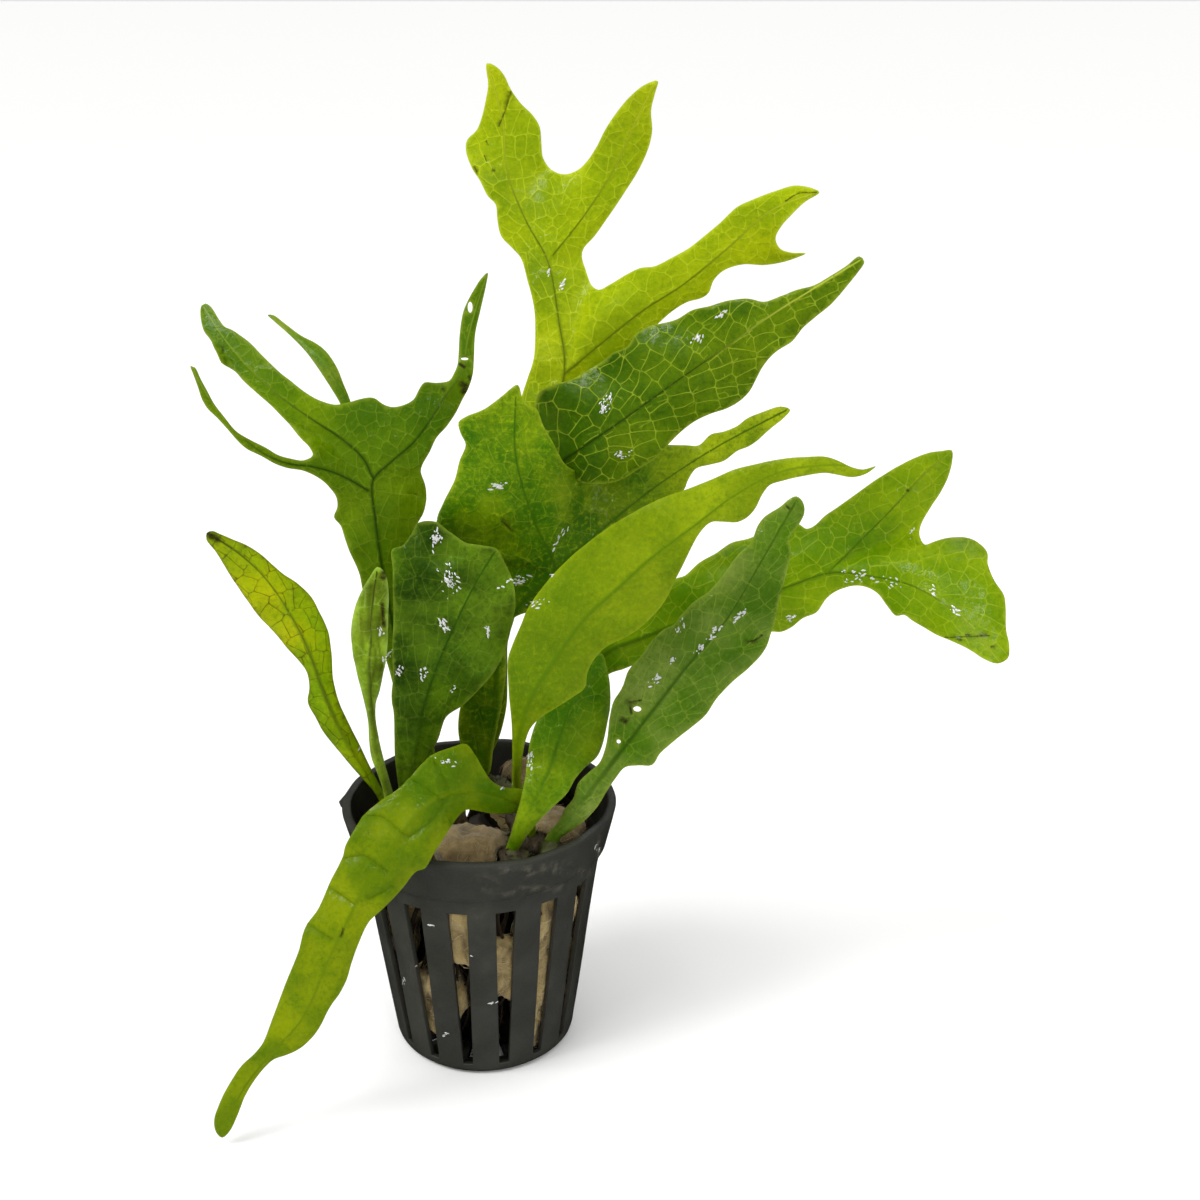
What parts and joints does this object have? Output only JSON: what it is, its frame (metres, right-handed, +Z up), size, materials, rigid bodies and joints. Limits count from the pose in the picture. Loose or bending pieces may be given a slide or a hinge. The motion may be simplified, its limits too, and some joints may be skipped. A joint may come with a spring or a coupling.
{
  "type": "potted java fern with forked hammer-tipped fronds",
  "caption": "Water fern with strap-shaped, forked and hammer-tipped fronds on a creeping stem, planted in mineral wool in a small slotted net pot.",
  "frame": {"origin": "middle of the pot's flat foot, on the surface that it stands on", "axes": "+Z up along the pot's axis; -Y is the front, where the drooping frond hangs over the rim; +X is to the right, where the hammer-tipped frond reaches out"},
  "size_m": [0.1404, 0.0756, 0.1826],
  "materials": {
    "pot_plastic": "moulded, satin, wet and a little dusty",
    "leaf_bright": "wet, glossy, pale raised vein net",
    "leaf_mid": "wet, glossy, pale raised vein net",
    "leaf_dark": "wet, glossy, dark ribs",
    "leaf_yellowed": "wet, ageing to brown at the tip",
    "leaf_young": "wet, pale, brown at the fold",
    "stem_bark": "rough, scaly, with fine dark hairs",
    "planting_wool": "torn mineral wool, fibrous, damp",
    "root_mat": "matted dark roots"
  },
  "bodies": {
    "root": {"net_pot": "pot_plastic", "creeping_stem": "stem_bark", "root_ball": "root_mat", "frond_crown": "leaf_bright", "frond_netted": "leaf_dark", "frond_shaded_fork": "leaf_dark", "frond_bright_blade": "leaf_bright", "frond_hammer": "leaf_bright", "frond_dark_lance": "leaf_mid", "frond_front_short": "leaf_mid", "frond_drooping": "leaf_bright", "frond_yellowed": "leaf_yellowed", "frond_young_folded": "leaf_young", "frond_left_fork": "leaf_mid", "frond_back_narrow": "leaf_mid", "frond_glossy_broad": "leaf_dark", "wool_front_high": "planting_wool", "wool_front_middle": "planting_wool", "wool_front_low": "planting_wool", "wool_right": "planting_wool", "wool_right_back": "planting_wool", "wool_back": "planting_wool", "wool_left_back": "planting_wool", "wool_left": "planting_wool", "wool_top_front": "planting_wool", "wool_top_right": "planting_wool", "wool_top_back": "planting_wool"}
  },
  "joints": []
}
